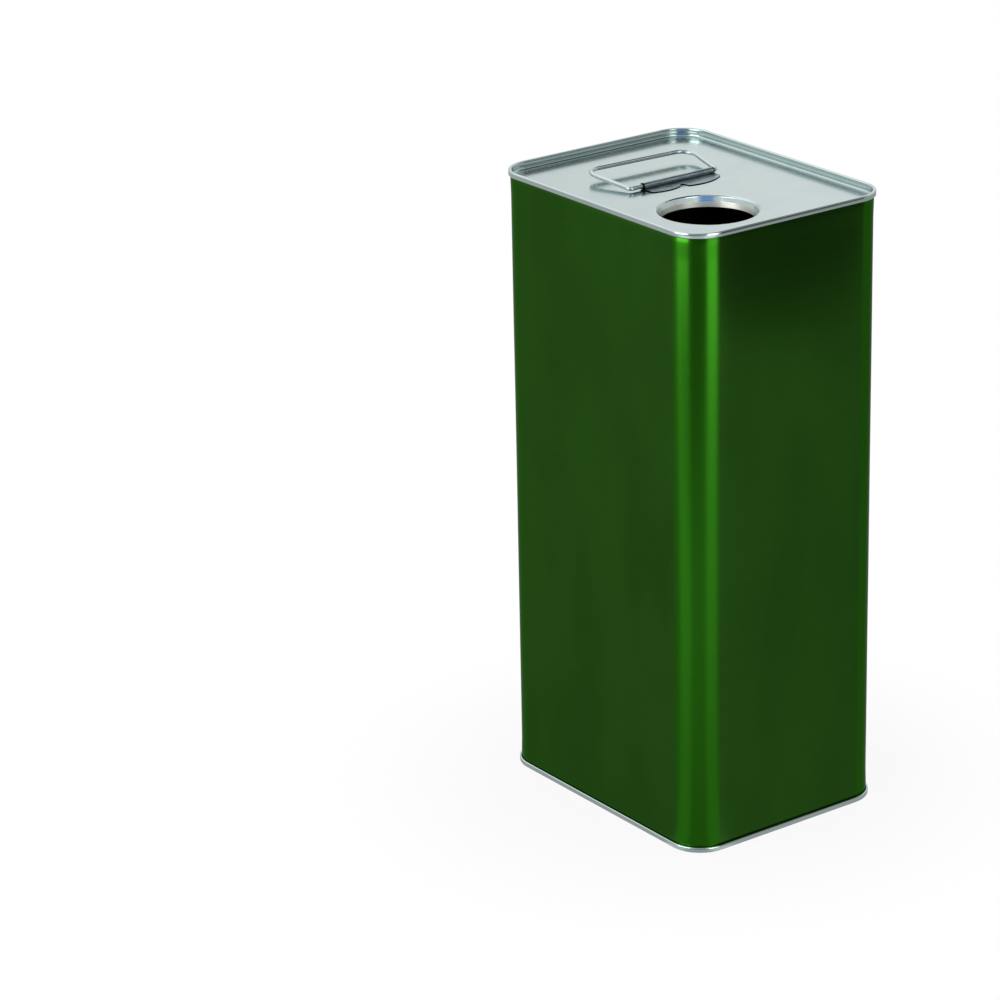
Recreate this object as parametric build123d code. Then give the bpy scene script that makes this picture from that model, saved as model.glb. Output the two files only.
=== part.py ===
from build123d import *
import math
import os

# Five-litre tinplate can with an off-centre pouring mouth and a folding wire handle.
# Millimetres. X runs along the broad side, Y along the narrow side, and Z is up.
# The origin is on the floor, under the middle of the can.

# Body of the can, measured on its outer face, and the height over both seams
body_width = 150.0
body_depth = 117.0
can_height = 311.0
corner_radius = 16.0
body_sheet = 0.25

# Welded side joint, down the middle of the narrow face at -X
weld_width = 1.2
weld_proud = 0.08
weld_end_gap = 0.6

# Double seams, where each end is rolled together with the body
end_sheet = 0.28
seam_height = 2.8
seam_layer_gap = 0.08
seam_shoulder_radius = 0.42
hook_tip_gap = 0.25
compound_thickness = 0.12
compound_gap = 0.04

# Ends, with a panel sunk below the seam's outer edge
panel_recess = 4.0
heel_radius = 0.9
base_step_inset = 8.0
base_step_rise = 0.8
base_step_radius = 1.0

# Mouth in the top end, turned down into the can: a rounded rim, a conical lead-in and a bore
mouth_end_inset = 40.0
mouth_side_inset = 41.0
mouth_bore = 45.2
rim_radius = 1.36
lead_in_angle = 65.0
lead_in_run = 2.1
throat_radius = 0.86
neck_depth = 5.5

# Handle wire, bent to a closed loop whose two ends meet inside the clip. It is bent by hand, so
# its two legs differ a little, and it has slid along the clip towards -Y
wire_diameter = 2.2
wire_end_gap = 1.0
loop_span = 52.2
left_reach = 31.2
right_reach = 28.8
left_flare = 4.1
right_flare = 6.4
hinge_corner_radius = 1.7
grip_corner_radius = 7.2
rest_lift_deg = 5.0

# Clip: a sheet rolled round the wire, with a flat leaf welded to the top panel
clip_sheet = 0.4
clip_length = 43.0
hinge_offset = 10.3
clip_offset = 0.7
knuckle_clearance = 0.1
knuckle_mouth_gap = 0.17
knuckle_end_gap = 0.3
leaf_reach = 10.7
leaf_corner_radius = 1.5
spot_diameter = 2.4
spot_depth = 0.12

# The leaf's wavy edge: along the clip as a share of half its length, and out from the
# hinge line as a share of the leaf's reach
left_lobe_shares = [(-1.0, 0.68), (-0.62, 0.87), (-0.21, 0.73)]
notch_shares = [(-0.15, 0.56), (-0.10, 0.53), (-0.05, 0.58)]
right_lobe_shares = [(-0.02, 0.88), (0.40, 1.0), (1.0, 0.56)]
spot_shares = [(-0.41, 0.56), (0.11, 0.60)]

# Middle of each sheet in a seam, outward from the body's outer face
body_wall = -body_sheet / 2
chuck_wall = -body_sheet - seam_layer_gap - end_sheet / 2
cover_hook = seam_layer_gap + end_sheet / 2
body_hook = cover_hook + end_sheet / 2 + seam_layer_gap + body_sheet / 2
seam_wall = body_hook + body_sheet / 2 + seam_layer_gap + end_sheet / 2

# Bends of the seam on the middle of the sheet, and the heights of their centres on top
flange_radius = (body_hook - body_wall) / 2
curl_radius = (seam_wall - cover_hook) / 2
shoulder_run = seam_wall - chuck_wall - 2 * seam_shoulder_radius
compound_space = compound_thickness + 2 * compound_gap
shoulder_z = can_height - end_sheet / 2 - seam_shoulder_radius
flange_z = can_height - end_sheet - compound_space - body_sheet / 2 - flange_radius
curl_z = can_height - seam_height + end_sheet / 2 + curl_radius

# Heights and places on the top panel
panel_z = can_height - panel_recess
hinge_z = panel_z + clip_sheet + knuckle_clearance + wire_diameter / 2
hinge_place = (-hinge_offset, clip_offset, hinge_z)
mouth_x = body_width / 2 - mouth_end_inset
mouth_y = mouth_side_inset - body_depth / 2


def sheet_section(start, heading, steps, thickness):
    """Section of a bent sheet. A step is a straight run (length,) or a bend (angle, radius)
    on the middle of the sheet, and a positive angle turns left."""
    place = Vector(*start)
    ahead = Vector(1, 0).rotate(Axis.Z, heading)
    middle = []
    for step in steps:
        if len(step) > 1:
            angle, radius = step
            piece = JernArc(place, ahead, radius, angle)
        else:
            piece = Line(place, place + ahead * step[0])
        middle.append(piece)
        place = piece @ 1
        ahead = piece % 1
    return trace(Wire(middle), thickness)


def around_can(section):
    """Carry a section once round the can. The section is drawn outward and up from the body's
    outer face."""
    upright = Plane.XZ * (Pos(corner_radius, 0) * section)
    corner = revolve(upright, Axis.Z, 90)
    half_x = body_width / 2 - corner_radius
    half_y = body_depth / 2 - corner_radius
    quarters = [(half_x, half_y), (-half_x, half_y), (-half_x, -half_y), (half_x, -half_y)]
    pieces = []
    for turn, (x, y) in enumerate(quarters):
        run = 2 * abs(x if turn % 2 else y)
        side = extrude(upright, run, dir=(0, -1, 0))
        place = Pos(x, y, 0) * Rot(0, 0, 90 * turn)
        pieces += [place * corner, place * side]
    return pieces[0] + pieces[1:]


def flat_panel(edge, top):
    """Flat plate of end sheet whose rim lies at edge, outward from the body's outer face."""
    outline = RectangleRounded(body_width + 2 * edge, body_depth + 2 * edge, corner_radius + edge)
    return Pos(0, 0, top - end_sheet) * extrude(outline, end_sheet)


def seam_steps():
    """Runs and bends of an end from its panel's rim, up and over into the seam."""
    up_wall = shoulder_z - (panel_z - end_sheet / 2 + heel_radius)
    down_wall = shoulder_z - curl_z
    hook = flange_z - hook_tip_gap - curl_z
    return [
        (90, heel_radius),
        (up_wall,),
        (-90, seam_shoulder_radius),
        (shoulder_run,),
        (-90, seam_shoulder_radius),
        (down_wall,),
        (-180, curl_radius),
        (hook,),
    ]


def top_end():
    """Top end: sunk panel, seam rim and the mouth's turned-down neck, pressed from one sheet."""
    rim = chuck_wall - heel_radius
    middle_z = panel_z - end_sheet / 2
    sine = math.sin(math.radians(lead_in_angle))
    cosine = math.cos(math.radians(lead_in_angle))
    funnel_width = rim_radius * sine + lead_in_run * cosine + throat_radius * (1 - sine)
    funnel_depth = rim_radius * (1 - cosine) + lead_in_run * sine + throat_radius * cosine
    foot = mouth_bore / 2 + end_sheet / 2 + funnel_width
    neck_steps = [
        (lead_in_angle, rim_radius),
        (lead_in_run,),
        (90 - lead_in_angle, throat_radius),
        (neck_depth - end_sheet / 2 - funnel_depth,),
    ]
    neck = revolve(Plane.XZ * sheet_section((foot, middle_z), 180, neck_steps, end_sheet), Axis.Z)
    hole = extrude(Circle(foot), 2 * end_sheet, both=True)
    end = around_can(sheet_section((rim, middle_z), 0, seam_steps(), end_sheet))
    end += flat_panel(rim, panel_z)
    end -= Pos(mouth_x, mouth_y, panel_z) * hole
    return end + Pos(mouth_x, mouth_y, 0) * neck


def bottom_end():
    """Bottom end: as the top end upside down, with a stepped panel and no mouth."""
    middle_z = panel_z - end_sheet / 2
    step_turn = math.degrees(math.acos(1 - base_step_rise / (2 * base_step_radius)))
    step_run = 2 * base_step_radius * math.sin(math.radians(step_turn))
    rim = -base_step_inset - step_run
    border = chuck_wall - heel_radius + base_step_inset
    steps = [(step_turn, base_step_radius), (-step_turn, base_step_radius), (border,)]
    start = (rim, middle_z - base_step_rise)
    end = around_can(sheet_section(start, 0, steps + seam_steps(), end_sheet))
    end += flat_panel(rim, panel_z - base_step_rise)
    return mirror(end, Plane.XY.offset(can_height / 2))


def body_shell():
    """Wrapped wall with a hook turned out and over at each end, and its welded side joint."""
    hook = flange_z - (curl_z + hook_tip_gap)
    start = (body_hook, can_height - flange_z + hook)
    steps = [
        (hook,),
        (-180, flange_radius),
        (2 * flange_z - can_height,),
        (-180, flange_radius),
        (hook,),
    ]
    shell = around_can(sheet_section(start, -90, steps, body_sheet))
    weld_height = can_height - 2 * (seam_height + weld_end_gap)
    weld = Box(
        body_sheet / 2 + weld_proud,
        weld_width,
        weld_height,
        align=(Align.MIN, Align.CENTER, Align.CENTER),
    )
    return shell + Pos(-body_width / 2 - weld_proud, 0, can_height / 2) * weld


def top_seam_compound():
    """Ring of sealing compound, held between the body's flange and the end."""
    section = Rectangle(shoulder_run, compound_thickness, align=(Align.MIN, Align.MAX))
    start = (chuck_wall + seam_shoulder_radius, can_height - end_sheet - compound_gap)
    return around_can(Pos(*start) * section)


def handle_clip():
    """Clip: an open roll round the wire and a wavy leaf lying on the panel."""
    roll_radius = wire_diameter / 2 + knuckle_clearance + clip_sheet / 2
    outer_radius = roll_radius + clip_sheet / 2
    mouth_sine = 1 - (clip_sheet + knuckle_mouth_gap) / outer_radius
    roll_turn = 270 + math.degrees(math.asin(mouth_sine))
    section = sheet_section((0, -roll_radius), 180, [(-roll_turn, roll_radius)], clip_sheet)
    knuckle = extrude(Plane.XZ * section, clip_length / 2, both=True)

    def spot(share):
        return Vector(share[1] * leaf_reach, share[0] * clip_length / 2)

    left_lobe = ThreePointArc(*[spot(share) for share in left_lobe_shares])
    notch = ThreePointArc(*[spot(share) for share in notch_shares])
    right_lobe = ThreePointArc(*[spot(share) for share in right_lobe_shares])
    outline = [
        Line((0, -clip_length / 2), left_lobe @ 0),
        left_lobe,
        Line(left_lobe @ 1, notch @ 0),
        notch,
        Line(notch @ 1, right_lobe @ 0),
        right_lobe,
        Line(right_lobe @ 1, (0, clip_length / 2)),
        Line((0, clip_length / 2), (0, -clip_length / 2)),
    ]
    plan = make_face(outline)
    tips = [plan.vertices().sort_by_distance(lobe)[0] for lobe in (left_lobe @ 0, right_lobe @ 1)]
    leaf = extrude(fillet(tips, leaf_corner_radius), clip_sheet)
    dimple = Pos(0, 0, clip_sheet - spot_depth) * extrude(Circle(spot_diameter / 2), clip_sheet)
    for share in spot_shares:
        leaf -= Pos(*spot(share)) * dimple
    return Pos(*hinge_place) * knuckle + Pos(-hinge_offset, clip_offset, panel_z) * leaf


def handle_wire():
    """Wire loop, lying back over the panel and lifted a little at its grip. The left leg is
    the one at -Y."""
    right_y = clip_length / 2 + knuckle_end_gap + hinge_corner_radius
    left_y = right_y - loop_span
    route = FilletPolyline(
        (0, wire_end_gap / 2),
        (0, right_y),
        (-right_reach, right_y + right_flare),
        (-left_reach, left_y - left_flare),
        (0, left_y),
        (0, -wire_end_gap / 2),
        radius=[hinge_corner_radius, grip_corner_radius, grip_corner_radius, hinge_corner_radius],
    )
    section = Plane(origin=route @ 0, z_dir=route % 0) * Circle(wire_diameter / 2)
    loop = sweep(section, path=route)
    return Pos(*hinge_place) * Rot(0, rest_lift_deg, 0) * loop


os.makedirs("parts", exist_ok=True)
export_step(body_shell(), "parts/body_shell.step")
export_step(top_end(), "parts/top_end.step")
export_step(bottom_end(), "parts/bottom_end.step")
seal = top_seam_compound()
export_step(seal, "parts/top_seam_compound.step")
export_step(mirror(seal, Plane.XY.offset(can_height / 2)), "parts/bottom_seam_compound.step")
export_step(handle_clip(), "parts/handle_clip.step")
export_step(handle_wire(), "parts/handle_wire.step")
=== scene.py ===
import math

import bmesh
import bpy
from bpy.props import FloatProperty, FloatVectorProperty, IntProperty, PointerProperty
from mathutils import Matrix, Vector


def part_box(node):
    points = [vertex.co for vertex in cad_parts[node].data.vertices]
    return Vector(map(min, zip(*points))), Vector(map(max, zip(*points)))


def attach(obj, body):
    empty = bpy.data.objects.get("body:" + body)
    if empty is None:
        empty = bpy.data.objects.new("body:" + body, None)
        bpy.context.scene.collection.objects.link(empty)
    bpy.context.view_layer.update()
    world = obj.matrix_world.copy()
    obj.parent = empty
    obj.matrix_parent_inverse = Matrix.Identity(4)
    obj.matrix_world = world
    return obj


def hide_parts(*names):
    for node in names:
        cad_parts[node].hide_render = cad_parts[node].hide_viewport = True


bl_info = {
    "name": "Olive Oil Can",
    "version": (1, 0, 0),
    "blender": (4, 5, 0),
    "location": "3D View > Sidebar > Oil Can",
    "description": "Dresses a tinplate oil can round its packed frame and sets up its studio",
    "category": "Add Mesh",
}

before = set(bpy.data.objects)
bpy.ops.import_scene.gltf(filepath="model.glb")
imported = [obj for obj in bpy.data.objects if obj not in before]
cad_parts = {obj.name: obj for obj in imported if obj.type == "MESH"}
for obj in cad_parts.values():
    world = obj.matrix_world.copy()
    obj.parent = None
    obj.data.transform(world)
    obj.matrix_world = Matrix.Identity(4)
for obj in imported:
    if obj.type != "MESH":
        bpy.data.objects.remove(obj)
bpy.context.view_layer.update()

MM = 0.001
CAN_LOW, CAN_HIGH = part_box("top_end")
SHELL_LOW, SHELL_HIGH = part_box("body_shell")
CLIP_LOW, CLIP_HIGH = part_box("handle_clip")
CAN_HEIGHT = CAN_HIGH.z
# The clip's leaf lies on the top panel
PANEL_Z = CLIP_LOW.z
# An edge that turns by more than this stays sharp
SHARP_EDGE = math.radians(50)
# The camera's side of the room, in degrees round the can from +X
CAMERA_TURN = -35.8
WHITE = (1, 1, 1, 1)


def linear(code):
    """Linear colour of an sRGB hex code."""
    parts = [int(code[i:i + 2], 16) / 255 for i in (1, 3, 5)]
    return [p / 12.92 if p <= 0.04045 else ((p + 0.055) / 1.055) ** 2.4 for p in parts]


def length(name, value, text):
    return FloatProperty(name=name, default=value, unit="LENGTH", subtype="DISTANCE", precision=5,
                         description=text)


def colour(name, code, text):
    return FloatVectorProperty(name=name, default=linear(code), size=3, min=0, max=1,
                               subtype="COLOR", description=text)


def share(name, value, text):
    return FloatProperty(name=name, default=value, min=0, max=1, subtype="FACTOR",
                         description=text)


def angle(name, degrees, text):
    return FloatProperty(name=name, default=math.radians(degrees), subtype="ANGLE",
                         description=text)


class OILCAN_PG_wall(bpy.types.PropertyGroup):
    """Sizes and colours of the lacquered wall."""

    seam_proud: length("Seam stand-out", 1.05 * MM, "How far the seams stand out from the wall")
    corner_radius: length("Corner radius", 16 * MM, "Outer radius of the can's upright corners")
    sheet: length("Sheet", 0.25 * MM, "Thickness of the wall's sheet")
    hook_length: length("Hook length", 1.1 * MM, "Straight run of the hook inside each seam")
    bow: length("Bow", 0.35 * MM, "How far the flat sides bow and ripple")
    flare: length("Flare", 0.2 * MM, "How far the wall swells where it enters a seam")
    corner_steps: IntProperty(name="Corner steps", default=14, min=4, max=48,
                              description="Facets round each upright corner")
    side_step: length("Side step", 6 * MM, "Spacing of the mesh along the flat sides")
    rows: IntProperty(name="Rows", default=78, min=12, max=200,
                      description="Rows of the mesh up the wall")
    bare_margin: length("Bare margin", 4 * MM, "Unlacquered tinplate on each side of the weld")
    weld_width: length("Weld width", 1.2 * MM, "Width of the welded lap")
    weld_pitch: length("Weld pitch", 1.2 * MM, "Spacing of the weld's nuggets")
    weld_proud: length("Weld stand-out", 0.08 * MM, "How far the welded lap stands out")
    weld_clear: length("Weld clearance", 3.6 * MM, "How far the weld stops short of each end")
    green: colour("Lacquer", "#2E5E1D", "Green lacquer over bright tinplate")
    deep_green: colour("Thick lacquer", "#2B581B", "The same where the lacquer lies thicker")
    # Painted highlight colour: a greener, more saturated lacquer over the corners, where the
    # upright highlight stripes fall, so those stripes come out deep green
    corner_highlight_green: colour("Corner lacquer", "#276612", "Where the lacquer gathers over the corners")
    rim_green: colour("Lacquer edge-on", "#C4CCC0", "The lacquer where it is seen edge-on")
    lining: colour("Lining", "#8C8468", "Clear lining lacquer inside the can")


class OILCAN_PG_metal(bpy.types.PropertyGroup):
    """Colours and finishes of the bare metal."""

    seam_height: length("Seam height", 2.8 * MM, "Length of each rolled seam along the can")
    seam_crown: length("Seam crown", 0.8 * MM, "Where a seam stands out most, from the can's end")
    seam_dome: length("Seam dome", 4.5 * MM, "Radius of the slight dome of the seams' outer walls")
    neck_top: length("Neck top", 3 * MM, "How far below the panel the mouth's neck starts")
    neck_foot: length("Neck foot", 5.6 * MM, "How far below the panel the neck ends")
    neck_taper: length("Neck taper", 0.75 * MM, "How far the neck narrows towards its foot")
    tin: colour("Tinplate", "#BCCBCA", "Bright tinplate of the ends")
    dull_tin: colour("Dull tinplate", "#B8C8C8", "Tinplate where handling has dulled it")
    # Painted reflection: the neck's tint is warmer and slightly lighter than the tinplate, to
    # lighten the bore
    neck: colour("Neck", "#CBCCC3", "Tinplate of the mouth's neck under its clear lining")
    wire: colour("Wire", "#BCC8CA", "Tinned wire")
    clip: colour("Clip", "#84929A", "Clip sheet")
    # Painted shadow: near-black on the clip's cut edges, standing in for the shade in the gaps
    # under and beside them
    cut_edge_shadow: colour("Cut edge", "#0C0E0D", "Blackened steel of the clip's cut edges")
    weld: colour("Weld", "#8A8378", "Heat-tinted weld")
    compound: colour("Compound", "#5A625B", "Sealing compound")


class OILCAN_PG_studio(bpy.types.PropertyGroup):
    """Camera, lamps, flag, floor and surroundings."""

    azimuth: angle("Azimuth", 54.165, "Camera's direction round the can, from -Y towards +X")
    elevation: angle("Elevation", 20.898, "Camera's height above the horizon, as an angle")
    roll: angle("Roll", -1.249, "Camera's roll")
    distance: length("Distance", 1971.9 * MM, "Camera's distance along its line of sight")
    aside: length("Aside", -96.4 * MM, "Camera's place to the right of the can's origin")
    above: length("Above", 137.9 * MM, "Camera's place above the can's origin, square to its line")
    lens: FloatProperty(name="Lens", default=141.33, unit="CAMERA",
                        description="Focal length in millimetres")
    floor_size: length("Floor", 4.0, "Side of the pale floor")
    floor: colour("Floor colour", "#C4C4C4", "Pale floor")
    ambient: share("Ambient", 0.4, "Light that comes from all round")
    dim_side: share("Dim side", 0.28, "Brightness of the room behind the camera, in a reflection")
    flag_radius: length("Flag radius", 108 * MM, "Radius of the round dark flag")
    flag_level: share("Flag level", 0.11, "Brightness of the dark flag")
    flag_place: FloatVectorProperty(name="Flag's place", default=(0.265, 0.158, 0.285), size=3,
                                    unit="LENGTH", subtype="TRANSLATION",
                                    description="Middle of the round dark flag")
    lamp_distance: length("Lamp distance", 720 * MM, "How far the softboxes stand from the can")
    left_turn: angle("Left lamps", -89, "Direction of the left softboxes round the can from +X")
    right_turn: angle("Right lamps", 3, "Direction of the right softboxes round the can from +X")
    window: colour("Window", "#649BEA", "Blue window behind the camera, in a reflection")
    haze: colour("Haze", "#DAEDFF", "Haze at the window's foot")


def add(tree, kind, inputs=None, **settings):
    """Add a node with its settings. An input that is a socket is linked, and others are set."""
    made = tree.nodes.new(kind)
    for name, value in settings.items():
        setattr(made, name, value)
    for key, value in (inputs or {}).items():
        if isinstance(value, bpy.types.NodeSocket):
            tree.links.new(value, made.inputs[key])
        else:
            made.inputs[key].default_value = value
    return made


def new_material(name):
    """A material with an empty node tree and its output."""
    material = bpy.data.materials.new(name)
    material.use_nodes = True
    material.node_tree.nodes.clear()
    output = add(material.node_tree, "ShaderNodeOutputMaterial")
    return material, material.node_tree, output


def opaque(rgb):
    return (*rgb, 1.0)


def object_place(tree):
    return add(tree, "ShaderNodeTexCoord").outputs["Object"]


def noise(tree, place, cell, detail=2.0, roughness=0.5):
    """Noise whose cells have the given lengths along X, Y and Z, in metres."""
    scaled = add(tree, "ShaderNodeVectorMath", {0: place, 1: [1 / c for c in cell]},
                 operation="MULTIPLY")
    return add(tree, "ShaderNodeTexNoise", {
        "Vector": scaled.outputs[0],
        "Scale": 1.0,
        "Detail": detail,
        "Roughness": roughness,
    }).outputs[0]


def ranged(tree, value, low, high, to_low, to_high, smooth=False):
    kind = "SMOOTHSTEP" if smooth else "LINEAR"
    return add(tree, "ShaderNodeMapRange", {
        "Value": value,
        "From Min": low,
        "From Max": high,
        "To Min": to_low,
        "To Max": to_high,
    }, interpolation_type=kind).outputs[0]


def maths(tree, operation, first, second=0.0):
    return add(tree, "ShaderNodeMath", {0: first, 1: second}, operation=operation).outputs[0]


def blend_colours(tree, factor, first, second, kind="MIX"):
    return add(tree, "ShaderNodeMix", {0: factor, 6: first, 7: second},
               data_type="RGBA", blend_type=kind).outputs[2]


def bump(tree, height, depth, under=None):
    inputs = {"Height": height, "Distance": depth, "Strength": 1.0}
    if under is not None:
        inputs["Normal"] = under
    return add(tree, "ShaderNodeBump", inputs).outputs[0]


def grey(tree, level):
    """A neutral colour of the given brightness."""
    return add(tree, "ShaderNodeCombineXYZ", {0: level, 1: level, 2: level}).outputs[0]


def shaded(tree, tint, level):
    """A colour times a brightness."""
    return blend_colours(tree, 1.0, tint, grey(tree, level), "MULTIPLY")


def surface(tree, output, inputs):
    """Give a material its one shader, with the given inputs."""
    shader = add(tree, "ShaderNodeBsdfPrincipled", inputs)
    tree.links.new(shader.outputs[0], output.inputs[0])


def axes(tree, place):
    """The parts of a vector along X, Y and Z."""
    return add(tree, "ShaderNodeSeparateXYZ", {0: place}).outputs


def along(tree, vector, turn, rise=0.0):
    """Length of a vector along a direction, given in degrees by its turn from +X and its rise."""
    turn, rise = math.radians(turn), math.radians(rise)
    way = (math.cos(turn) * math.cos(rise), math.sin(turn) * math.cos(rise), math.sin(rise))
    return add(tree, "ShaderNodeVectorMath", {0: vector, 1: way},
               operation="DOT_PRODUCT").outputs["Value"]


def over_corners(tree, place, wall):
    """Where the sheet is bent round the can's four corners."""
    x, y = axes(tree, place)[:2]
    half_x, half_y = wall_halves(wall)
    past_x = maths(tree, "SUBTRACT", maths(tree, "ABSOLUTE", x), half_x - wall.corner_radius)
    past_y = maths(tree, "SUBTRACT", maths(tree, "ABSOLUTE", y), half_y - wall.corner_radius)
    return ranged(tree, maths(tree, "MINIMUM", past_x, past_y), 0, 2 * MM, 0, 1, smooth=True)


def beside_weld(tree, place, wall):
    """Where the lacquer stops short of the weld, with a slightly ragged edge."""
    x, y = axes(tree, place)[:2]
    ragged = ranged(tree, noise(tree, place, (3 * MM, 3 * MM, 3 * MM)), 0, 1, -0.3 * MM, 0.3 * MM)
    from_weld = maths(tree, "ADD", maths(tree, "ABSOLUTE", y), ragged)
    near_weld = ranged(tree, from_weld, wall.bare_margin, wall.bare_margin + 0.2 * MM, 1, 0)
    on_weld_side = ranged(tree, x, CAN_LOW.x + 3 * MM, CAN_LOW.x + 4 * MM, 1, 0)
    return maths(tree, "MULTIPLY", near_weld, on_weld_side)


def green_lacquered_tinplate(wall):
    """Tinplate under a transparent green roller coat. The metal's horizontal rolling grain shows
    through it and smears each reflection upright."""
    material, tree, output = new_material("green_lacquered_tinplate")
    place = object_place(tree)
    # Real grain is finer than a tenth of a millimetre, so it is drawn coarser to show at all
    grain = noise(tree, place, (60 * MM, 60 * MM, 0.8 * MM), detail=2.0, roughness=0.6)
    mottle = noise(tree, place, (40 * MM, 40 * MM, 90 * MM), detail=2.0)
    lacquer = blend_colours(tree, ranged(tree, mottle, 0.35, 0.65, 0, 1, smooth=True),
                            opaque(wall.deep_green), opaque(wall.green))
    # Painted highlight colour: the corners, where the highlight stripes fall, get the more
    # saturated green
    lacquer = blend_colours(tree, over_corners(tree, place, wall),
                            lacquer, opaque(wall.corner_highlight_green))
    streaked = shaded(tree, lacquer, ranged(tree, grain, 0.3, 0.7, 0.975, 1.025))
    tin = bpy.context.scene.oilcan_metal.dull_tin
    surface(tree, output, {
        "Base Color": blend_colours(tree, beside_weld(tree, place, wall), streaked, opaque(tin)),
        "Metallic": 1.0,
        "Roughness": ranged(tree, grain, 0.3, 0.7, 0.24, 0.26),
        "Anisotropic": 0.3,
        "Tangent": add(tree, "ShaderNodeCombineXYZ", {2: 1.0}).outputs[0],
        "Specular Tint": opaque(wall.rim_green),
    })
    return material


def lining_lacquer(wall):
    """Clear lining lacquer over the tinplate inside the can: dull, and slightly straw-coloured."""
    material, tree, output = new_material("lining_lacquer")
    patch = noise(tree, object_place(tree), (25 * MM, 25 * MM, 25 * MM))
    surface(tree, output, {
        "Base Color": shaded(tree, opaque(wall.lining), ranged(tree, patch, 0.3, 0.7, 0.8, 1.0)),
        "Metallic": 1.0,
        "Roughness": 0.45,
    })
    return material


def seam_dome(tree, z, metal):
    """Height of the slight dome across each rolled seam."""
    from_end = maths(tree, "MINIMUM", z, maths(tree, "SUBTRACT", CAN_HEIGHT, z))
    on_seam = maths(tree, "MINIMUM", from_end, metal.seam_height)
    off_crown = maths(tree, "SUBTRACT", on_seam, metal.seam_crown)
    return maths(tree, "MULTIPLY", maths(tree, "MULTIPLY", off_crown, off_crown),
                 -1 / (2 * metal.seam_dome))


def bright_tinplate(metal):
    """Cold-rolled tinplate, stamped and left bare: bright, faintly cool, with a fine rolling
    grain, slow ripples left by the press and a few dulled patches from handling."""
    material, tree, output = new_material("bright_tinplate")
    place = object_place(tree)
    # Drawn coarser than the real rolling grain, which is too fine to show
    grain = noise(tree, place, (30 * MM, 0.7 * MM, 30 * MM), detail=3.0, roughness=0.6)
    ripple = noise(tree, place, (28 * MM, 28 * MM, 28 * MM), detail=1.0)
    dulled = noise(tree, place, (17 * MM, 17 * MM, 17 * MM), detail=3.0)
    tint = blend_colours(tree, ranged(tree, dulled, 0.45, 0.7, 0, 1, smooth=True),
                         opaque(metal.tin), opaque(metal.dull_tin))
    # The neck narrows slightly downwards. Its punch has scratched it dull, and it gets a warmer,
    # slightly lighter
    #     tint that is painted reflection, lightening the bore
    z = axes(tree, place)[2]
    neck_high, neck_low = PANEL_Z - metal.neck_top, PANEL_Z - metal.neck_foot
    taper = ranged(tree, z, neck_low, neck_high, metal.neck_taper, 0)
    below_cone = ranged(tree, z, neck_high, neck_high + 0.3 * MM, 1, 0)
    in_top_end = ranged(tree, z, CAN_HEIGHT / 2, CAN_HEIGHT / 2 + 1 * MM, 0, 1)
    scored_and_painted_lighter = maths(tree, "MULTIPLY", below_cone, in_top_end)
    form = maths(tree, "ADD", seam_dome(tree, z, metal), taper)
    formed = bump(tree, form, 1.0, bump(tree, ripple, 0.01 * MM))
    surface(tree, output, {
        "Base Color": blend_colours(tree, scored_and_painted_lighter, tint, opaque(metal.neck)),
        "Metallic": 1.0,
        "Roughness": maths(tree, "ADD", ranged(tree, grain, 0.3, 0.7, 0.13, 0.17),
                           maths(tree, "MULTIPLY", scored_and_painted_lighter, 0.25)),
        "Normal": bump(tree, grain, 0.001 * MM, formed),
    })
    return material


def tinned_wire(metal):
    """Drawn steel wire, tinned bright, with small flats left by bending and a few duller
    patches."""
    material, tree, output = new_material("tinned_wire")
    place = object_place(tree)
    flats = noise(tree, place, (2.5 * MM, 2.5 * MM, 2.5 * MM), detail=2.0)
    patches = noise(tree, place, (6 * MM, 6 * MM, 6 * MM), detail=2.0)
    surface(tree, output, {
        "Base Color": blend_colours(tree, ranged(tree, patches, 0.4, 0.7, 0, 0.7, smooth=True),
                                    opaque(metal.wire), opaque(metal.dull_tin)),
        "Metallic": 1.0,
        "Roughness": ranged(tree, flats, 0.3, 0.7, 0.2, 0.28),
        "Normal": bump(tree, flats, 0.006 * MM),
    })
    return material


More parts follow.
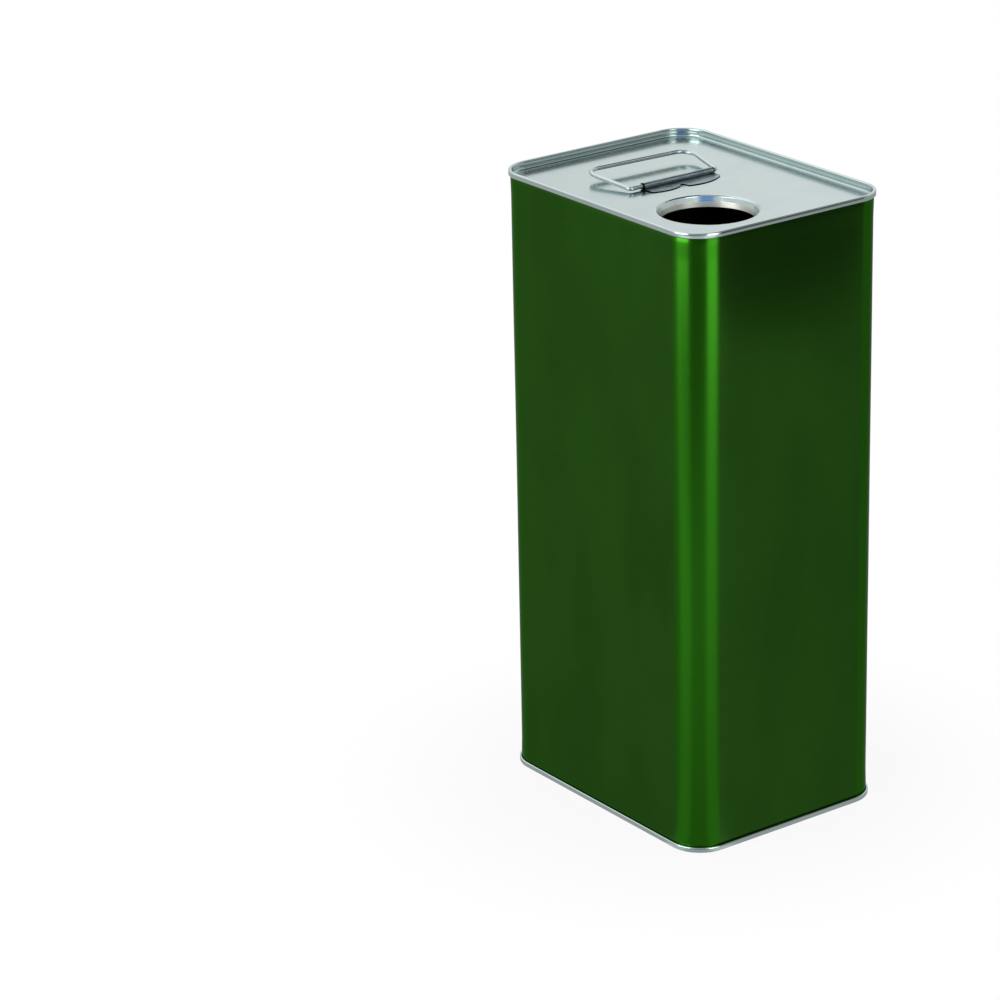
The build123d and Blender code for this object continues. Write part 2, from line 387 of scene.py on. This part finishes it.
def clip_sheet_steel(metal):
    """Sheet steel, tinned and rolled round the wire: satin and scuffed along the roll, with
    painted shadow, near-black, on its cut edges."""
    material, tree, output = new_material("clip_sheet_steel")
    place = object_place(tree)
    scuffs = noise(tree, place, (0.8 * MM, 9 * MM, 0.8 * MM), detail=3.0, roughness=0.6)
    tint = blend_colours(tree, ranged(tree, scuffs, 0.4, 0.75, 0, 0.8, smooth=True),
                         opaque(metal.clip), opaque(metal.tin))
    # Painted shadow: the cut faces stand upright round the leaf, within the sheet's thickness of
    # the panel, and at
    #     the two ends of the roll; they and a band round the rim of each end are painted
    #     near-black for the shade in the gaps under the leaf and inside the roll
    y, z = axes(tree, place)[1:]
    facing = axes(tree, add(tree, "ShaderNodeNewGeometry").outputs["True Normal"])
    upright = ranged(tree, maths(tree, "ABSOLUTE", facing[2]), 0.3, 0.5, 1, 0)
    low = ranged(tree, z, PANEL_Z + 0.45 * MM, PANEL_Z + 0.5 * MM, 1, 0)
    end_on = ranged(tree, maths(tree, "ABSOLUTE", facing[1]), 0.6, 0.8, 0, 1)
    middle, end = (CLIP_LOW.y + CLIP_HIGH.y) / 2, (CLIP_HIGH.y - CLIP_LOW.y) / 2
    from_middle = maths(tree, "ABSOLUTE", maths(tree, "SUBTRACT", y, middle))
    rim = ranged(tree, from_middle, end - 0.7 * MM, end - 0.5 * MM, 0, 1)
    cut = maths(tree, "MAXIMUM", maths(tree, "MULTIPLY", upright, low),
                maths(tree, "MAXIMUM", end_on, rim))
    surface(tree, output, {
        "Base Color": blend_colours(tree, cut, tint, opaque(metal.cut_edge_shadow)),
        "Metallic": 1.0,
        "Roughness": ranged(tree, scuffs, 0.3, 0.7, 0.24, 0.36),
        "Normal": bump(tree, scuffs, 0.01 * MM),
    })
    return material


def weld_metal(metal):
    """Resistance-welded lap: squashed, slightly heat-tinted and matt."""
    material, tree, output = new_material("weld_metal")
    spatter = noise(tree, object_place(tree), (0.7 * MM, 0.7 * MM, 0.7 * MM), detail=2.0)
    surface(tree, output, {
        "Base Color": blend_colours(tree, ranged(tree, spatter, 0.4, 0.65, 0, 1),
                                    opaque(metal.weld), opaque(metal.dull_tin)),
        "Metallic": 1.0,
        "Roughness": 0.42,
        "Normal": bump(tree, spatter, 0.02 * MM),
    })
    return material


def sealing_compound(metal):
    """Water-based sealing compound, dried in the seam: matt and rubbery."""
    material, tree, output = new_material("sealing_compound")
    crumb = noise(tree, object_place(tree), (0.4 * MM, 0.4 * MM, 0.4 * MM), detail=2.0)
    shade = ranged(tree, crumb, 0.3, 0.7, 0.85, 1.1)
    surface(tree, output, {
        "Base Color": shaded(tree, opaque(metal.compound), shade),
        "Roughness": 0.8,
        "Normal": bump(tree, crumb, 0.02 * MM),
    })
    return material


def finish_object(bm, name, materials, body="can"):
    """Turn a bmesh into a smooth object that rides on a body of the can."""
    mesh = bpy.data.meshes.new(name)
    bm.to_mesh(mesh)
    bm.free()
    for material in materials:
        mesh.materials.append(material)
    mesh.shade_smooth()
    mesh.set_sharp_from_angle(angle=SHARP_EDGE)
    made = bpy.data.objects.new(name, mesh)
    bpy.context.scene.collection.objects.link(made)
    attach(made, body)
    return made


def redress(node, material):
    """Give a node of the frame one new material."""
    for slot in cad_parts[node].material_slots:
        slot.material = material


def smooth_step(value, low, high):
    t = min(max((value - low) / (high - low), 0), 1)
    return t * t * (3 - 2 * t)


def wall_halves(wall):
    return CAN_HIGH.x - wall.seam_proud, CAN_HIGH.y - wall.seam_proud


def outward(place, wall):
    """Level direction that points straight out of the wall beside a point."""
    half_x, half_y = wall_halves(wall)
    over_x = max(abs(place.x) - (half_x - wall.corner_radius), 0)
    over_y = max(abs(place.y) - (half_y - wall.corner_radius), 0)
    return Vector((math.copysign(over_x, place.x), math.copysign(over_y, place.y), 0)).normalized()


def wall_bow(place, wall):
    """How far the wall stands out of its flat at a point: slow bows and ripples of the sides,
    and a slight swelling where it enters the seams."""
    half_x, half_y = wall_halves(wall)
    facing = outward(place, wall)
    narrow = abs(facing.x) > abs(facing.y)
    aside = place.y / half_y if narrow else place.x / half_x
    # Each side has a phase of its own
    phase = 2.1 * math.copysign(1, facing.x) if narrow else 4.4 * math.copysign(1, facing.y)
    # A slow wave up the side, and a quicker one that leans across it
    up = 2 * math.pi * place.z / CAN_HEIGHT
    wave = 0.6 * math.sin(0.9 * up + phase) - 0.3
    wave += 0.3 * math.sin(2.2 * up + 1.7 * phase + 2.0 * aside)
    # The corners and the seams hold the side flat
    across = 0.2 + 0.8 * math.cos(math.pi / 2 * min(abs(aside), 1)) ** 2
    from_end = min(place.z, CAN_HEIGHT - place.z)
    free = smooth_step(from_end, 7 * MM, 45 * MM)
    into_seam = smooth_step(from_end, 14 * MM, 4.4 * MM)
    past_seam = smooth_step(from_end, 2.9 * MM, 4.2 * MM)
    return wall.bow * across * free * wave + wall.flare * into_seam * past_seam


class OILCAN_OT_wall(bpy.types.Operator):
    """Wrap the lacquered wall, with a hook turned out and over at each end"""

    bl_idname = "oilcan.wall"
    bl_label = "Lacquered wall"

    def execute(self, context):
        wall = context.scene.oilcan_wall
        half_x, half_y = wall_halves(wall)
        # A rounded rectangle on the middle of the sheet
        bm = bmesh.new()
        bmesh.ops.create_grid(bm, x_segments=1, y_segments=1, size=1)
        bmesh.ops.scale(bm, vec=(half_x - wall.sheet / 2, half_y - wall.sheet / 2, 1),
                        verts=bm.verts)
        bmesh.ops.bevel(bm, geom=bm.verts[:], offset=wall.corner_radius - wall.sheet / 2,
                        affect="VERTICES", segments=wall.corner_steps, profile=0.5, material=-1)
        bmesh.ops.delete(bm, geom=bm.faces[:], context="FACES_ONLY")
        for edge in [e for e in bm.edges if e.calc_length() > wall.corner_radius]:
            cuts = round(edge.calc_length() / wall.side_step) - 1
            bmesh.ops.subdivide_edges(bm, edges=[edge], cuts=cuts)
        self.raise_ring(bm, wall, self.section(wall))
        for vert in bm.verts:
            vert.co += outward(vert.co, wall) * wall_bow(vert.co, wall)
        self.face_outward(bm, half_y)
        outside = set(bm.faces)
        bmesh.ops.solidify(bm, geom=bm.faces[:], thickness=wall.sheet)
        for face in bm.faces:
            face.material_index = 0 if face in outside else 1
        made = finish_object(bm, "lacquered_wall", [
            green_lacquered_tinplate(wall),
            lining_lacquer(wall),
        ])
        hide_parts("body_shell")
        return {"FINISHED"}

    @staticmethod
    def face_outward(bm, half_y):
        """Turn all the faces outward, judged by the one in the middle of the side at +Y."""
        bmesh.ops.recalc_face_normals(bm, faces=bm.faces)
        middle = Vector((0, half_y, CAN_HEIGHT / 2))
        nearest = min(bm.faces, key=lambda f: (f.calc_center_median() - middle).length)
        if nearest.normal.y < 0:
            bmesh.ops.reverse_faces(bm, faces=bm.faces)

    @staticmethod
    def section(wall):
        """Places of the wall's section, outward from its outer face and up, from one hook's tip
        to the other's."""
        hook_out = SHELL_HIGH.x - wall_halves(wall)[0] - wall.sheet / 2
        radius = (hook_out + wall.sheet / 2) / 2
        bend_out = hook_out - radius
        low = SHELL_LOW.z + wall.sheet / 2 + radius
        high = SHELL_HIGH.z - wall.sheet / 2 - radius
        bend_steps = 6
        turns = [math.pi * step / bend_steps for step in range(bend_steps + 1)]
        path = [(hook_out, low + wall.hook_length)]
        path += [(bend_out + radius * math.cos(t), low - radius * math.sin(t)) for t in turns]
        for row in range(1, wall.rows):
            # The rows lie closer towards both ends
            t = row / wall.rows
            eased = t - 0.85 * math.sin(2 * math.pi * t) / (2 * math.pi)
            path.append((-wall.sheet / 2, low + (high - low) * eased))
        path += [(bend_out - radius * math.cos(t), high + radius * math.sin(t)) for t in turns]
        path.append((hook_out, high - wall.hook_length))
        return path

    @staticmethod
    def raise_ring(bm, wall, path):
        """Extrude the ring along the wall's section."""
        ring = bm.verts[:]
        out, z = path[0]
        for vert in ring:
            vert.co += outward(vert.co, wall) * (out + wall.sheet / 2)
        bmesh.ops.translate(bm, verts=ring, vec=(0, 0, z))
        edges = bm.edges[:]
        for next_out, next_z in path[1:]:
            grown = bmesh.ops.extrude_edge_only(bm, edges=edges)["geom"]
            ring = [g for g in grown if isinstance(g, bmesh.types.BMVert)]
            edges = [g for g in grown if isinstance(g, bmesh.types.BMEdge)]
            for vert in ring:
                vert.co += outward(vert.co, wall) * (next_out - out)
            bmesh.ops.translate(bm, verts=ring, vec=(0, 0, next_z - z))
            out, z = next_out, next_z


class OILCAN_OT_side_weld(bpy.types.Operator):
    """Lay the welded lap down the middle of the narrow side at -X"""

    bl_idname = "oilcan.side_weld"
    bl_label = "Side weld"

    def execute(self, context):
        wall = context.scene.oilcan_wall
        half_x = wall_halves(wall)[0]
        low, high = wall.weld_clear, CAN_HEIGHT - wall.weld_clear
        # Four steps of the mesh for each nugget
        steps = round((high - low) / (wall.weld_pitch / 4))
        bm = bmesh.new()
        bmesh.ops.create_grid(bm, x_segments=4, y_segments=steps, size=0.5)
        bmesh.ops.scale(bm, vec=(wall.weld_width, high - low, 1), verts=bm.verts)
        bmesh.ops.rotate(bm, matrix=Matrix.Rotation(math.radians(90), 3, "X"), verts=bm.verts)
        bmesh.ops.rotate(bm, matrix=Matrix.Rotation(math.radians(-90), 3, "Z"), verts=bm.verts)
        bmesh.ops.translate(bm, vec=(-half_x, 0, (low + high) / 2), verts=bm.verts)
        for vert in bm.verts:
            nugget = 0.8 + 0.2 * math.cos(2 * math.pi * vert.co.z / wall.weld_pitch)
            crown = 1 - (2 * vert.co.y / wall.weld_width) ** 4
            rise = wall.weld_proud * nugget * crown
            vert.co.x -= wall_bow(vert.co, wall) + rise
        if sum(face.normal.x for face in bm.faces) > 0:
            bmesh.ops.reverse_faces(bm, faces=bm.faces)
        bmesh.ops.solidify(bm, geom=bm.faces[:], thickness=wall.sheet / 2)
        made = finish_object(bm, "side_weld", [weld_metal(context.scene.oilcan_metal)])
        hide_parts("body_shell")
        return {"FINISHED"}


class OILCAN_OT_ends(bpy.types.Operator):
    """Finish the two seamed ends in bright tinplate"""

    bl_idname = "oilcan.ends"
    bl_label = "Seamed ends"

    def execute(self, context):
        tinplate = bright_tinplate(context.scene.oilcan_metal)
        for node in ("top_end", "bottom_end"):
            redress(node, tinplate)
        return {"FINISHED"}


class OILCAN_OT_seals(bpy.types.Operator):
    """Finish the two rings of sealing compound inside the seams"""

    bl_idname = "oilcan.seals"
    bl_label = "Sealing compound"

    def execute(self, context):
        compound = sealing_compound(context.scene.oilcan_metal)
        for node in ("top_seam_compound", "bottom_seam_compound"):
            redress(node, compound)
        return {"FINISHED"}


class OILCAN_OT_handle(bpy.types.Operator):
    """Finish the folding wire handle and its welded clip"""

    bl_idname = "oilcan.handle"
    bl_label = "Wire handle and clip"

    def execute(self, context):
        metal = context.scene.oilcan_metal
        redress("handle_wire", tinned_wire(metal))
        redress("handle_clip", clip_sheet_steel(metal))
        return {"FINISHED"}


def stage_object(name, bm, material):
    mesh = bpy.data.meshes.new(name)
    bm.to_mesh(mesh)
    bm.free()
    mesh.materials.append(material)
    made = bpy.data.objects.new(name, mesh)
    bpy.context.scene.collection.objects.link(made)
    return made


class OILCAN_OT_studio(bpy.types.Operator):
    """Set up the pale floor, the white surroundings, the lamps, the dark flag and the camera"""

    bl_idname = "oilcan.studio"
    bl_label = "Studio"

    def execute(self, context):
        studio = context.scene.oilcan_studio
        self.world(context.scene, studio)
        self.floor(studio, context.scene.oilcan_wall)
        self.softboxes(context.scene, studio)
        self.flag(studio)
        self.camera(context.scene, studio)
        context.scene.view_settings.view_transform = "Standard"
        return {"FINISHED"}

    def world(self, scene, studio):
        """White all round, though a reflection sees a room instead."""
        world = bpy.data.worlds.new("white_surroundings")
        world.use_nodes = True
        tree = world.node_tree
        tree.nodes.clear()
        rays = add(tree, "ShaderNodeLightPath").outputs
        direct = maths(tree, "MAXIMUM", rays["Is Camera Ray"], rays["Is Transmission Ray"])
        plain = blend_colours(tree, direct, opaque([studio.ambient] * 3), WHITE)
        shown = blend_colours(tree, rays["Is Glossy Ray"], plain, self.room(tree, studio))
        light = add(tree, "ShaderNodeBackground", {"Color": shown, "Strength": 1.0})
        output = add(tree, "ShaderNodeOutputWorld")
        tree.links.new(light.outputs[0], output.inputs[0])
        scene.world = world

    @staticmethod
    def room(tree, studio):
        """Colour of the room in each direction."""
        way = add(tree, "ShaderNodeTexCoord").outputs["Generated"]
        rise = axes(tree, way)[2]
        # Each is 1 straight towards the thing, and less the further the way turns from it
        back_wall = along(tree, way, 190)
        back_right = along(tree, way, 120)
        right_wall = along(tree, way, 80)
        opening = along(tree, way, 72, 58)
        window = along(tree, way, CAMERA_TURN, 40.8)
        # White wall behind the can, brighter higher up and to its right
        level = ranged(tree, back_wall, 0.15, 0.5, 0, 1, smooth=True)
        level = maths(tree, "MULTIPLY", level, ranged(tree, rise, 0.34, 0.6, 1, 1.6, smooth=True))
        level = maths(tree, "MULTIPLY", level, ranged(tree, back_right, 0.86, 0.91, 0.86, 1.02))
        # Pale wall to the right
        pale = ranged(tree, right_wall, 0.6, 0.85, 0, 0.75, smooth=True)
        level = maths(tree, "MAXIMUM", level, pale)
        # Pale band high up all round, under a slightly dimmer ceiling
        upper = maths(tree, "MULTIPLY", ranged(tree, rise, 0.3, 0.4, 0, 0.84, smooth=True),
                      ranged(tree, rise, 0.75, 0.85, 1, 0.7, smooth=True))
        level = maths(tree, "MAXIMUM", maths(tree, "MAXIMUM", level, upper), studio.dim_side)
        # Dark opening to the right, high up
        level = maths(tree, "MULTIPLY", level, ranged(tree, opening, 0.9, 0.94, 1, 0.08))
        # Window behind the camera, hazier at its foot
        pane = blend_colours(tree, ranged(tree, rise, 0.5, 0.62, 0.3, 0),
                             opaque(studio.window), opaque(studio.haze))
        in_window = ranged(tree, window, 0.945, 0.97, 0, 1)
        return blend_colours(tree, in_window, grey(tree, level), pane)

    @staticmethod
    def table_light(tree, place, studio, wall):
        """Painted light: brightness that the table emits to reflections, and where the table ends.
        It is brighter to the left and towards the camera, and glows along the two lines from the
        near corner to the softboxes."""
        forward = along(tree, place, CAMERA_TURN)
        leftward = along(tree, place, CAMERA_TURN - 90)
        level = maths(tree, "ADD", ranged(tree, leftward, -0.5, 0.5, 0.44, 0.56),
                      ranged(tree, forward, 0.1, 0.4, 0, 0.2, smooth=True))
        half_x, half_y = wall_halves(wall)
        corner = (half_x - wall.corner_radius, wall.corner_radius - half_y, 0)
        from_corner = add(tree, "ShaderNodeVectorMath", {0: place, 1: corner},
                          operation="SUBTRACT").outputs[0]
        across, deep = axes(tree, from_corner)[:2]
        turn = maths(tree, "ARCTAN2", deep, across)
        reach = add(tree, "ShaderNodeVectorMath", {0: place}, operation="LENGTH").outputs["Value"]
        # Painted shade: the glow is weaker close to the can
        clear_of_can = ranged(tree, reach, 0.15, 0.42, 0.55, 1, smooth=True)
        for lamp_turn in (studio.left_turn, studio.right_turn):
            aside = maths(tree, "ABSOLUTE", maths(tree, "SUBTRACT", turn, lamp_turn))
            glow = ranged(tree, aside, 0.2, 0.5, 0.45, 0, smooth=True)
            level = maths(tree, "ADD", level, maths(tree, "MULTIPLY", glow, clear_of_can))
        slant = maths(tree, "ADD", forward, maths(tree, "MULTIPLY", leftward, 0.6))
        past_edge = ranged(tree, slant, 0.6, 0.8, 0, 1, smooth=True)
        return level, past_edge

    def floor(self, studio, wall):
        """Pale painted floor. The camera sees it melt into the white round the can, and a
        reflection sees a table, glowing with painted light, that ends towards the camera."""
        material, tree, output = new_material("pale_floor")
        place = object_place(tree)
        rays = add(tree, "ShaderNodeLightPath").outputs
        clear = add(tree, "ShaderNodeBsdfTransparent").outputs[0]
        paint = add(tree, "ShaderNodeBsdfDiffuse", {"Color": opaque(studio.floor)}).outputs[0]
        reach = add(tree, "ShaderNodeVectorMath", {0: place}, operation="LENGTH").outputs["Value"]
        melted = maths(tree, "MULTIPLY", rays["Is Camera Ray"],
                       ranged(tree, reach, 0.07, 0.2, 0.92, 1, smooth=True))
        shown = add(tree, "ShaderNodeMixShader", {0: melted, 1: paint, 2: clear}).outputs[0]
        level, past_edge = self.table_light(tree, place, studio, wall)
        # Painted light: reflections see the table as an emitter of this brightness
        table = add(tree, "ShaderNodeEmission", {"Color": WHITE, "Strength": level}).outputs[0]
        mirrored = add(tree, "ShaderNodeMixShader", {0: past_edge, 1: table, 2: clear}).outputs[0]
        mix = add(tree, "ShaderNodeMixShader", {0: rays["Is Glossy Ray"], 1: shown, 2: mirrored})
        tree.links.new(mix.outputs[0], output.inputs[0])
        bm = bmesh.new()
        bmesh.ops.create_grid(bm, x_segments=8, y_segments=8, size=studio.floor_size / 2)
        stage_object("floor", bm, material)

    @staticmethod
    def softboxes(scene, studio):
        """Four upright softboxes, two on each side, all aimed level at the can."""
        left, right = studio.left_turn, studio.right_turn
        # Name, turn, then foot, head and width in metres, and radiance
        for name, turn, foot, head, width, radiance in (
            ("left_low_softbox", left, 0.12, 0.5, 0.52, 5.2),
            ("left_high_softbox", left, 0.8, 1.2, 0.5, 2.0),
            ("right_low_softbox", right, 0.04, 0.5, 0.42, 2.2),
            ("right_high_softbox", right, 0.8, 1.2, 0.4, 2.0),
        ):
            data = bpy.data.lights.new(name, "AREA")
            data.shape = "RECTANGLE"
            data.size = width
            data.size_y = head - foot
            data.energy = radiance * math.pi * data.size * data.size_y
            away = Vector((math.cos(turn), math.sin(turn), 0))
            lamp = bpy.data.objects.new(name, data)
            lamp.location = away * studio.lamp_distance + Vector((0, 0, (foot + head) / 2))
            lamp.rotation_mode = "QUATERNION"
            lamp.rotation_quaternion = (-away).to_track_quat("-Z", "Y")
            lamp.visible_camera = False
            scene.collection.objects.link(lamp)

    @staticmethod
    def flag(studio):
        """Round dark flag beside the narrow side at +X, seen only in reflections."""
        material, tree, output = new_material("black_velvet")
        velvet = add(tree, "ShaderNodeEmission", {"Color": WHITE, "Strength": studio.flag_level})
        tree.links.new(velvet.outputs[0], output.inputs[0])
        bm = bmesh.new()
        bmesh.ops.create_circle(bm, cap_ends=True, segments=64, radius=studio.flag_radius)
        bmesh.ops.rotate(bm, matrix=Matrix.Rotation(math.radians(90), 3, "Y"), verts=bm.verts)
        bmesh.ops.translate(bm, vec=studio.flag_place, verts=bm.verts)
        flag = stage_object("flag", bm, material)
        flag.visible_camera = False
        flag.visible_diffuse = False
        flag.visible_shadow = False
        flag.visible_transmission = False

    @staticmethod
    def camera(scene, studio):
        """The camera, aimed by its azimuth, elevation and roll, then shifted aside and up."""
        a, e = studio.azimuth, studio.elevation
        back = Vector((math.sin(a) * math.cos(e), -math.cos(a) * math.cos(e), math.sin(e)))
        level = Vector((math.cos(a), math.sin(a), 0))
        upright = back.cross(level)
        right = level * math.cos(studio.roll) + upright * math.sin(studio.roll)
        up = back.cross(right)
        place = back * studio.distance + right * studio.aside + up * studio.above
        turned = Matrix((right, up, back)).transposed().to_4x4()
        data = bpy.data.cameras.new("camera")
        data.lens = studio.lens
        data.clip_start = 0.05
        data.clip_end = 20
        camera = bpy.data.objects.new("camera", data)
        camera.matrix_world = Matrix.Translation(place) @ turned
        scene.collection.objects.link(camera)
        scene.camera = camera


class OILCAN_PT_panel(bpy.types.Panel):
    """Lists the can's pieces and its studio"""

    bl_idname = "OILCAN_PT_panel"
    bl_label = "Oil can"
    bl_space_type = "VIEW_3D"
    bl_region_type = "UI"
    bl_category = "Oil Can"

    def draw(self, context):
        for operator in OPERATORS:
            self.layout.operator(operator.bl_idname)
        for name, kind in GROUPS.items():
            column = self.layout.column(align=True)
            for setting in kind.__annotations__:
                column.prop(getattr(context.scene, name), setting)


OPERATORS = (
    OILCAN_OT_wall,
    OILCAN_OT_side_weld,
    OILCAN_OT_ends,
    OILCAN_OT_seals,
    OILCAN_OT_handle,
    OILCAN_OT_studio,
)
GROUPS = {
    "oilcan_wall": OILCAN_PG_wall,
    "oilcan_metal": OILCAN_PG_metal,
    "oilcan_studio": OILCAN_PG_studio,
}
CLASSES = (*GROUPS.values(), *OPERATORS, OILCAN_PT_panel)


def register():
    for kind in CLASSES:
        bpy.utils.register_class(kind)
    for name, group in GROUPS.items():
        setattr(bpy.types.Scene, name, PointerProperty(type=group))


def unregister():
    for name in GROUPS:
        delattr(bpy.types.Scene, name)
    for kind in reversed(CLASSES):
        bpy.utils.unregister_class(kind)


def main():
    register()
    bpy.ops.oilcan.wall()
    bpy.ops.oilcan.side_weld()
    bpy.ops.oilcan.ends()
    bpy.ops.oilcan.seals()
    bpy.ops.oilcan.handle()
    bpy.ops.oilcan.studio()


if __name__ == "__main__":
    main()
